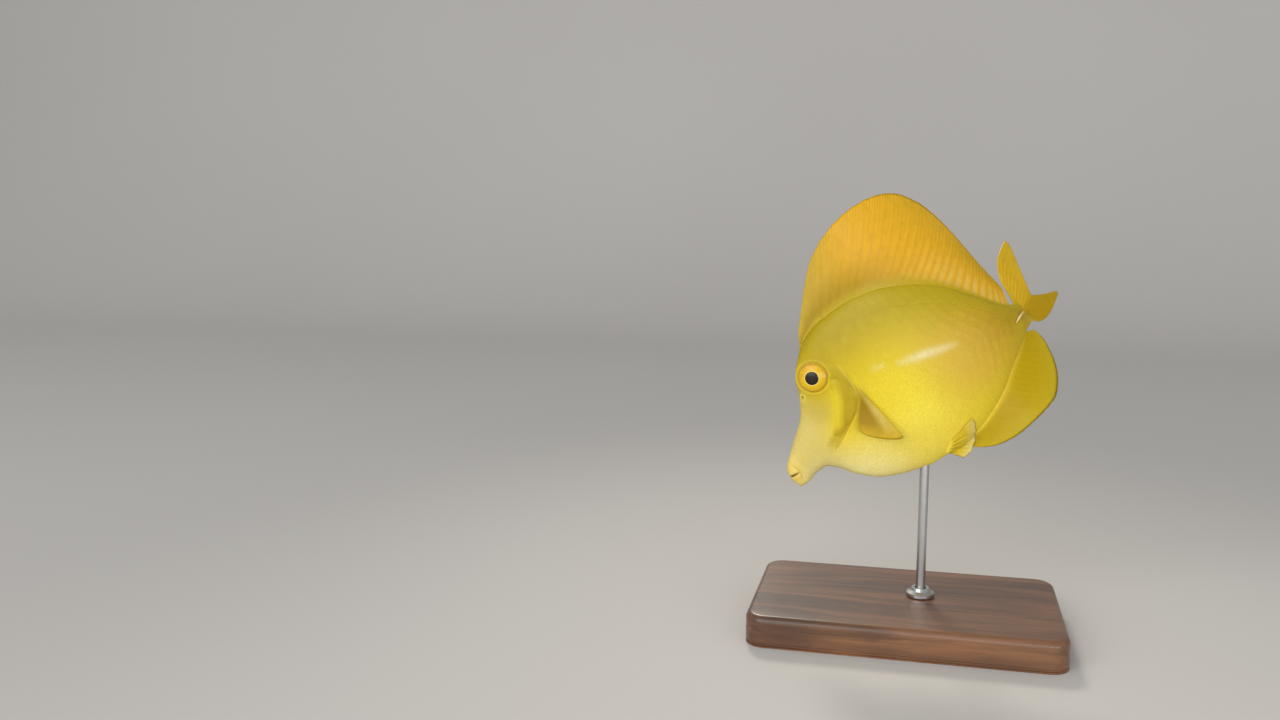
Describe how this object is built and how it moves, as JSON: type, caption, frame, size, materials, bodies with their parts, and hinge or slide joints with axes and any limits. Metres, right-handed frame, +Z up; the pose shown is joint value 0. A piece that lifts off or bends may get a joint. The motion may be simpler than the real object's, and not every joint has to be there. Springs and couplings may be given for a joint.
{
  "type": "yellow tang fish model",
  "caption": "Still life-size yellow tang, head down with its tail bent away, held by a rod on a flat wooden stand.",
  "frame": {"origin": "centre of the stand base's underside", "axes": "+Z up; -Y faces the fish's left side; the fish's head points to -X and down, its tail to +X and +Y"},
  "size_m": [0.078, 0.0551, 0.113],
  "materials": {
    "skin": "satin scaled skin, lemon yellow, olive gold above, cream below",
    "fins": "satin, translucent golden yellow membranes with darker rays",
    "eyes": "glossy, orange-yellow iris and dark pupil",
    "tail_spines": "smooth ivory white",
    "stand_wood": "oiled dark walnut",
    "stand_metal": "brushed"
  },
  "bodies": {
    "root": {"head": "skin", "jaw_upper": "skin", "jaw_lower": "skin", "trunk": "skin", "tail": "skin", "gill_cover_left": "skin", "gill_cover_right": "skin", "fin_dorsal": "fins", "fin_anal": "fins", "fin_caudal": "fins", "fin_pectoral_left": "fins", "fin_pectoral_right": "fins", "fin_pelvic_left": "fins", "fin_pelvic_right": "fins", "eye_left": "eyes", "eye_right": "eyes", "tail_spine_left": "tail_spines", "tail_spine_right": "tail_spines", "stand_base": "stand_wood", "stand_rod": "stand_metal", "stand_collar": "stand_metal"}
  },
  "joints": []
}
